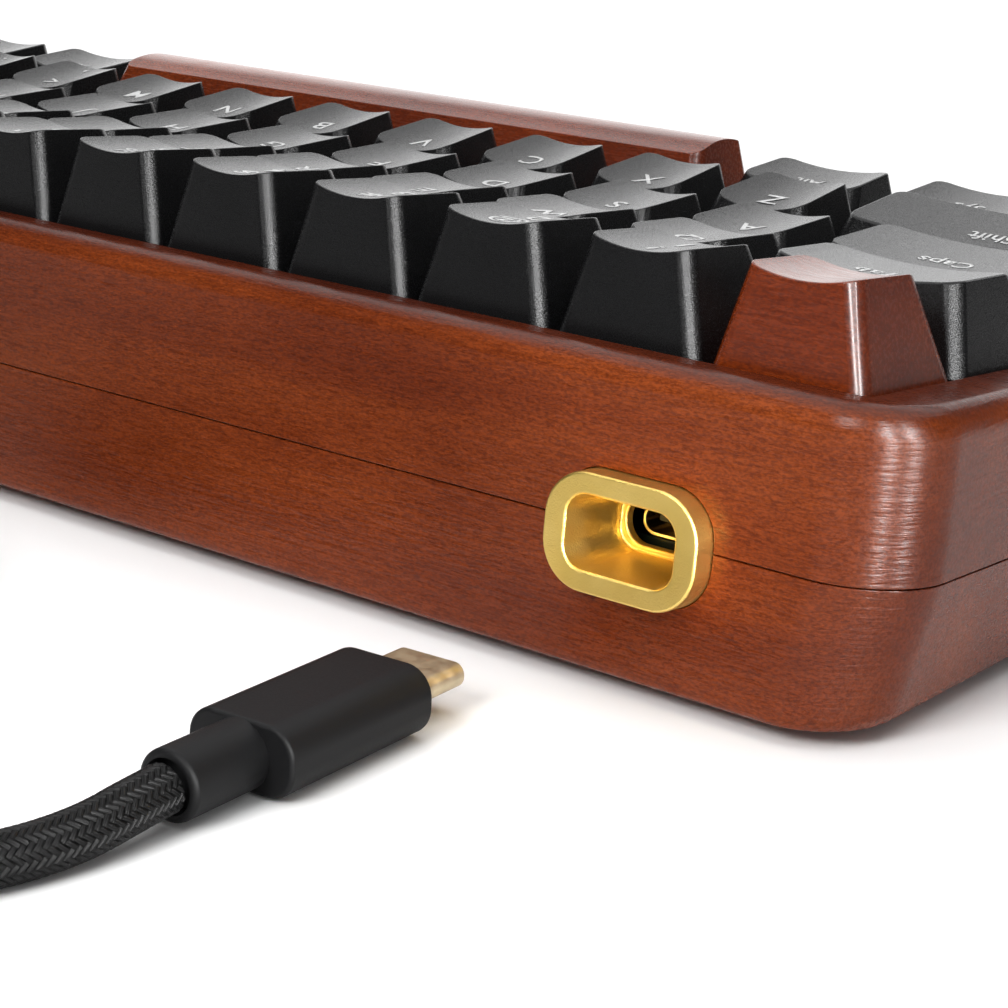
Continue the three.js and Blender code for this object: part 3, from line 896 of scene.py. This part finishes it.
contacts = []
for i in range(12):
    x = PORT_X + (i - 5.5) * 0.5
    strip = block(
        "contact",
        (x - 0.13, SOCKET_FACE - 5, PORT_Z - 0.38),
        (x + 0.13, SOCKET_FACE - 1.6, PORT_Z + 0.38),
    )
    contacts.append(strip)
only(contacts[0])
for strip in contacts:
    strip.select_set(True)
bpy.ops.object.join()
strips = bpy.context.object
strips.name = "socket_contacts"
soften(strips, 0.04, 1)
settle(strips)
dress(strips, polished_gold, "case")
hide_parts("usb_socket")
print("socket contacts:", len(contacts))

# %% [markdown]
# ## The keycaps
# Every row has its own height and slope, so that the fingers meet each key square on.
# A cap starts as a tall blank whose sides already lean in. Its upright edges are
# rounded, and then a long cylinder cuts the scooped top. The space bar is crowned
# instead: there a cylinder lying along the bar keeps what is inside it.

# %% Keycap sizes
CAP_GAP = 0.95
CAP_DROP = 1.0
CAP_WALL = 1.4
ROOF_WALL = 1.6
ROOF_INSET = 2.4
CAP_TOP = 12.4
CAP_EDGE = 1.75
BLANK_TOP = 16.0
DISH = 1.0
CROWN = 1.15
STEM = 5.4
STEM_FOOT = -4.0
# For each row: rear y, rear z, front y, front z of the top's edges.
PROFILES = [
    (8.3, 10.3, -3.7, 10.2),
    (6.8, 8.7, -5.3, 8.9),
    (6.3, 7.8, -6.3, 9.3),
    (5.2, 8.5, -6.8, 11.2),
    (3.6, 9.3, -6.8, 11.2),
]
SPACE_PROFILE = (4.6, 10.6, -6.8, 12.0)


def cylinder(name, radius, length, middle, direction, sides):
    bpy.ops.object.select_all(action="DESELECT")
    bpy.ops.mesh.primitive_cylinder_add(vertices=sides, radius=radius, depth=length)
    piece = bpy.context.object
    piece.name = name
    piece.rotation_mode = "QUATERNION"
    piece.rotation_quaternion = Vector(direction).to_track_quat("Z", "Y")
    piece.location = middle
    bpy.ops.object.transform_apply(location=True, rotation=True, scale=True)
    return piece


def cap_blank(name, half_x, profile, inset):
    rear_y, rear_z, front_y, front_z = profile
    half_y = (UNIT - CAP_GAP) / 2
    blank = block(name, (-half_x, -half_y, -CAP_DROP), (half_x, half_y, BLANK_TOP))

    def at_top(base, edge, height):
        return base + (edge - base) * (BLANK_TOP + CAP_DROP) / (height + CAP_DROP)

    top_x = at_top(half_x, half_x - inset, (rear_z + front_z) / 2)
    rear = at_top(half_y, rear_y, rear_z)
    front = at_top(-half_y, front_y, front_z)
    edit(blank)
    pick("FACE", lambda m, f: m.z > BLANK_TOP - 0.1)
    bpy.ops.transform.resize(
        value=(top_x / half_x, (rear - front) / (2 * half_y), 1),
        center_override=(0, 0, BLANK_TOP),
    )
    bpy.ops.transform.translate(value=(0, (rear + front) / 2, 0))
    done()
    return blank


def make_cap(name, units, profile, crowned):
    rear_y, rear_z, front_y, front_z = profile
    half_x = (units * UNIT - CAP_GAP) / 2
    inset = (UNIT - CAP_GAP - CAP_TOP) / 2
    cap = cap_blank(name, half_x, profile, inset)
    bevel_edges(cap, along(2), CAP_EDGE, 5)
    slope = Vector((0, rear_y - front_y, rear_z - front_z))
    middle = Vector((0, (rear_y + front_y) / 2, (rear_z + front_z) / 2))
    normal = Vector((0, -slope.z, slope.y)).normalized()
    if crowned:
        half = slope.length / 2
        radius = (half**2 + CROWN**2) / (2 * CROWN)
        center = middle + normal * (CROWN - radius)
        # The cylinder shapes the top alone. Under its middle a block keeps the bar.
        crown = cylinder("crown", radius, 200, center, (1, 0, 0), 180)
        keep = block("keep", (-half_x - 1, -20, -5), (half_x + 1, 20, center.z))
        join_in(crown, keep)
        modify(cap, "BOOLEAN", operation="INTERSECT", object=crown, solver="EXACT")
        bpy.data.objects.remove(crown, do_unlink=True)
    else:
        half = half_x - inset
        radius = (half**2 + DISH**2) / (2 * DISH)
        center = middle + normal * (radius - DISH)
        sides = 128 if units < 2 else 320
        cut(cap, cylinder("scoop", radius, 60, center, slope, sides))
    soften(cap, 0.3, 3, 38)
    roof = min(rear_z, front_z) - DISH - ROOF_WALL
    inside = block(
        "inside",
        (-half_x + CAP_WALL, -(UNIT - CAP_GAP) / 2 + CAP_WALL, -CAP_DROP - 1),
        (half_x - CAP_WALL, (UNIT - CAP_GAP) / 2 - CAP_WALL, roof),
    )
    edit(inside)
    pick("FACE", lambda m, f: m.z > roof - 0.1)
    rear, front = rear_y - CAP_WALL, front_y + CAP_WALL
    narrowing = (half_x - CAP_WALL - ROOF_INSET) / (half_x - CAP_WALL)
    shortening = (rear - front) / (UNIT - CAP_GAP - 2 * CAP_WALL)
    bpy.ops.transform.resize(value=(narrowing, shortening, 1), center_override=(0, 0, roof))
    bpy.ops.transform.translate(value=(0, (rear + front) / 2, 0))
    done()
    cut(cap, inside)
    stem = block("stem", (-STEM / 2, -STEM / 2, STEM_FOOT), (STEM / 2, STEM / 2, roof + 0.8))
    join_in(cap, stem)
    smooth(cap, 35)
    return cap


# %% [markdown]
# The printing is plain letters, numbers and signs, standing a hair above the plastic
# near the cap's rear edge. Each one is a text object turned into a mesh, dropped onto
# the scooped top along Z, and given a little thickness. Names such as Tab are smaller.

# %% Legends
MARK_SIZE = 4.6
WORD_SIZE = 3.5
PRINTED = {
    "1": "!\n1", "2": "@\n2", "3": "#\n3", "4": "$\n4", "5": "%\n5", "6": "^\n6",
    "7": "&\n7", "8": "*\n8", "9": "(\n9", "0": ")\n0", "minus": "_\n-",
    "equals": "+\n=", "open": "{\n[", "close": "}\n]", "slash2": "|\n\\",
    "semi": ":\n;", "quote": "\"\n'", "comma": "<\n,", "dot": ">\n.", "slash": "?\n/",
    "back": "Back", "tab": "Tab", "caps": "Caps", "enter": "Enter",
    "left_shift": "Shift", "right_shift": "Shift", "left_ctrl": "Ctrl", "super": "Sys",
    "left_alt": "Alt", "right_alt": "Alt", "fn": "Fn", "menu": "Menu",
    "right_ctrl": "Ctrl",
}


def make_legend(key, master, profile):
    words = PRINTED.get(key, key.upper())
    bpy.ops.object.select_all(action="DESELECT")
    bpy.ops.object.text_add()
    legend = bpy.context.object
    legend.data.body = words
    legend.data.size = WORD_SIZE if words[-1].islower() else MARK_SIZE
    legend.data.offset = 0.04
    legend.data.space_line = 1.15
    legend.data.resolution_u = 3
    legend.data.align_x = "CENTER"
    legend.data.align_y = "TOP"
    bpy.ops.object.convert(target="MESH")
    legend = bpy.context.object
    legend.name = legend.data.name = f"legend_{key}"
    legend.location = (0, profile[0] - 1.3, BLANK_TOP)
    bpy.ops.object.transform_apply(location=True, rotation=True, scale=True)
    modify(legend, "WELD", merge_threshold=0.002)
    modify(
        legend,
        "SHRINKWRAP",
        target=master,
        wrap_method="PROJECT",
        use_project_z=True,
        use_negative_direction=True,
        use_positive_direction=False,
        offset=0.012,
    )
    modify(legend, "SOLIDIFY", thickness=0.03, offset=1)
    return legend


print("keys with printed names or signs:", len(PRINTED))

# %% [markdown]
# Each row is a list of keys with their widths in units of the key pitch. One master
# cap is modelled for every width in a row and copied to its places, then removed. Keys
# that have a joint of their own ride on it, and the others stay with the case.

# %% The layout
LAYOUT = [
    "esc 1, 1 1, 2 1, 3 1, 4 1, 5 1, 6 1, 7 1, 8 1, 9 1, 0 1, minus 1, equals 1, back 2",
    "tab 1.5, q 1, w 1, e 1, r 1, t 1, y 1, u 1, i 1, o 1, p 1, open 1, close 1, slash2 1.5",
    "caps 1.75, a 1, s 1, d 1, f 1, g 1, h 1, j 1, k 1, l 1, semi 1, quote 1, enter 2.25",
    "left_shift 2.25, z 1, x 1, c 1, v 1, b 1, n 1, m 1, comma 1, dot 1, slash 1, "
    "right_shift 2.75",
    "left_ctrl 1.25, super 1.25, left_alt 1.25, space 6.25, right_alt 1.25, fn 1.25, "
    "menu 1.25, right_ctrl 1.25",
]
WOODEN = ("esc", "space")
masters = {}
caps = []
for row, line in enumerate(LAYOUT):
    left = -FIELD_X
    y = FIELD_Y - (row + 0.5) * UNIT
    for entry in line.split(", "):
        key, units = entry.split(" ")
        units = float(units)
        x = left + units * UNIT / 2
        left += units * UNIT
        kind = (row, units, key in WOODEN)
        if kind not in masters:
            crowned = key == "space"
            profile = SPACE_PROFILE if crowned else PROFILES[row]
            masters[kind] = make_cap(f"master_{row}_{units}", units, profile, crowned)
        cap = masters[kind].copy()
        cap.data = masters[kind].data.copy()
        cap.name = cap.data.name = f"cap_{key}"
        bpy.context.collection.objects.link(cap)
        cap.location = (x, y, 0)
        settle(cap)
        own = f"key_{key}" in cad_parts
        body = f"key_{key}" if own else "case"
        if key not in WOODEN:
            legend = make_legend(key, masters[kind], PROFILES[row])
            legend.location = (x, y, 0)
            settle(legend)
            dress(legend, legend_white, body)
        dress(cap, cap_wood if key in WOODEN else black_cap, body)
        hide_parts(body if own else "keys_right")
        caps.append(cap)
for master in masters.values():
    bpy.data.objects.remove(master, do_unlink=True)
print("keycaps:", len(caps), "from masters:", len(masters))

# %% [markdown]
# ## The plugs
# Each plug is a folded metal shell in a moulded body, with a round sleeve where the
# cord goes in. They are drawn along +Y from the middle of the shell, and placed from
# that shell's box and the way the plug points.

# %% Plugs


def plug_place(node, turn):
    return (
        Matrix.Translation(middle_of(node))
        @ Matrix.Rotation(math.radians(turn), 4, "Z")
        @ Matrix.Scale(MM, 4)
    )


def make_shell(name, size, wall, place):
    width, length, height = size
    radius = height / 2 - 0.06 if height < 3 else 0.5
    shell = rounded_bar(name, (0, 0, 0), size, radius, 1, 8)
    bore = (width - 2 * wall, length, height - 2 * wall)
    cut(shell, rounded_bar("bore", (0, -1, 0), bore, max(0.2, radius - wall), 1, 6))
    soften(shell, 0.1, 2)
    smooth(shell)
    settle(shell, place)
    dress(shell, satin_gold, "case")
    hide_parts(name)
    inner = (width - 2 * wall - 0.8, length - 2, 0.7 if height < 3 else 1.6)
    tongue = rounded_bar(name + "_tongue", (0, 0.5, 0), inner, 0.2, 1, 2)
    soften(tongue, 0.08, 1)
    smooth(tongue)
    settle(tongue, place)
    dress(tongue, dark_tongue, "case")
    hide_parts(name)
    return shell


def make_body(name, size, radius, sleeve_length, sleeve_radius, start, place):
    width, length, height = size
    middle = (0, start + length / 2, 0)
    body = rounded_bar(name, middle, size, radius, 1, 12)
    soften(body, 0.45, 4)
    end = start + length + sleeve_length
    tube_length = sleeve_length + 0.8
    tube_middle = (0, end - tube_length / 2, 0)
    tube = cylinder("tube", sleeve_radius, tube_length, tube_middle, (0, 1, 0), 64)
    edit(tube)
    pick("EDGE", lambda m, e: all(v.co.y > end - 0.01 for v in e.verts))
    bpy.ops.mesh.bevel(offset=0.6, segments=5, affect="EDGES")
    done()
    join_in(body, tube)
    recess = cylinder("recess", CORD / 2 + 0.25, 4, (0, end, 0), (0, 1, 0), 48)
    cut(body, recess)
    smooth(body, 32)
    settle(body, place)
    dress(body, plug_black, "case")
    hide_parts(name)
    return body


C_SHELL = (8.34, 7.5, 2.56)
C_BODY = (12.2, 21, 7.0)
C_SLEEVE = 9.6
C_START = 4.05  # from the middle of the shell to the moulded body
c_place = plug_place("plug_c_shell", 3.9)
c_shell = make_shell("plug_c_shell", C_SHELL, 0.3, c_place)
c_body = make_body("plug_c_body", C_BODY, 3.0, C_SLEEVE, 3.42, C_START, c_place)
a_place = plug_place("plug_a_shell", 11.5)
a_shell = make_shell("plug_a_shell", (12, 12, 4.5), 0.35, a_place)
a_body = make_body("plug_a_body", (15.6, 22, 7.6), 2.2, 9, 3.4, 6.3, a_place)
print("plug body faces:", len(c_body.data.polygons), len(a_body.data.polygons))

# %% [markdown]
# A flat rubber strap holds the coil's turns together on the side next to the case. It
# is a block with rounded edges and a smaller one cut out of it, so the turns run
# through.

# %% The tie round the coil
tie = block("coil_tie", (COIL_MIDDLE[0] - 5, 70.8, 0.02), (COIL_MIDDLE[0] + 5, 96.6, 10.4))
bevel_edges(tie, along(0), 3.2, 8)
core = block("core", (COIL_MIDDLE[0] - 9, 71.6, 0.72), (COIL_MIDDLE[0] + 9, 95.8, 9.7))
bevel_edges(core, along(0), 2.6, 8)
cut(tie, core)
soften(tie, 0.15, 2)
smooth(tie)
settle(tie, Matrix.Scale(MM, 4))
dress(tie, rubber, "case")

# %% [markdown]
# ## Parts that keep their plain shape
# The plate, the switches, the stabilisers, the boards and the feet are right as they
# are, so only their finish is set.

# %% Finish the carried-over parts
PLAIN = {
    "switch_plate": plate_black,
    "switch_housings": switch_plastic,
    "circuit_board": board_mask,
    "usb_board": board_mask,
    "stabiliser_space": plate_black,
    "stabiliser_left_shift": plate_black,
    "foot_rear": rubber,
    "foot_front": rubber,
}
for node, recipe in PLAIN.items():
    piece = bpy.data.objects[node]
    piece.data.materials.clear()
    piece.data.materials.append(recipe.material)
print("plain parts finished:", len(PLAIN))

# %% [markdown]
# ## Studio
# A white table and a white surround, as in a product studio. A wide soft light hangs
# overhead. A low wide panel stands beyond the front right, and the scooped keytops
# mirror it at their low angle. A small light warms the rear left corner, and four
# narrow strips stand beside it, seen only in the gloss, as streaks on rounded edges.

# %% Table and lights
bpy.context.scene.view_settings.view_transform = "Standard"
bpy.ops.object.select_all(action="DESELECT")
bpy.ops.mesh.primitive_plane_add(size=6)
table = bpy.context.object
table.name = "table"
r = Recipe("table_white", "")
paper = r.noise(3, 2)
table_white = r.finish(
    Base_Color=r.ramp(paper, [(0.3, (0.93, 0.93, 0.93)), (0.7, (0.95, 0.95, 0.95))]),
    Roughness=0.9,
)
table.data.materials.append(table_white.material)

world = bpy.data.worlds.new("studio")
bpy.context.scene.world = world
world.use_nodes = True
surround = next(n for n in world.node_tree.nodes if n.type == "BACKGROUND")
surround.inputs["Color"].default_value = (1, 1, 1, 1)
surround.inputs["Strength"].default_value = 0.12


def soft_light(name, place, target, size, power):
    data = bpy.data.lights.new(name, "AREA")
    data.shape = "RECTANGLE"
    data.size, data.size_y = size
    data.energy = power
    light = bpy.data.objects.new(name, data)
    bpy.context.collection.objects.link(light)
    light.location = place
    light.rotation_mode = "QUATERNION"
    aim = Vector(target) - Vector(place)
    light.rotation_quaternion = aim.to_track_quat("-Z", "Y")
    return light


soft_light("overhead", (0.15, -0.3, 1.5), (0.05, -0.1, 0), (2.6, 2.6), 41)
soft_light("backdrop", (0.9, -1.35, 0.42), (0, 0, 0.05), (2.2, 0.82), 10)
corner_light = soft_light("key", (-0.12, 0.42, 0.3), (-0.15, 0.05, 0.01), (0.2, 0.2), 0.27)
corner_light.data.spread = math.radians(70)
CORNER_PLACE = Vector((-0.148, 0.049, 0))
STRIPS = ((0.5, 0.045, 0.5, 6.5), (0.1, 0.009, 0.045, 0.06))  # distance, width, height, watts
for turn in (46, 74):
    turned = math.radians(turn)
    direction = Vector((-math.sin(turned), math.cos(turned), 0))
    for reach, width, height, power in STRIPS:
        stand = CORNER_PLACE + direction * reach + Vector((0, 0, height / 2 + 0.001))
        level = CORNER_PLACE + Vector((0, 0, height / 2 + 0.001))
        strip = soft_light("strip", stand, level, (width, height), power)
        strip.visible_diffuse = False
        strip.visible_camera = False
print("lights:", len(bpy.data.lights))
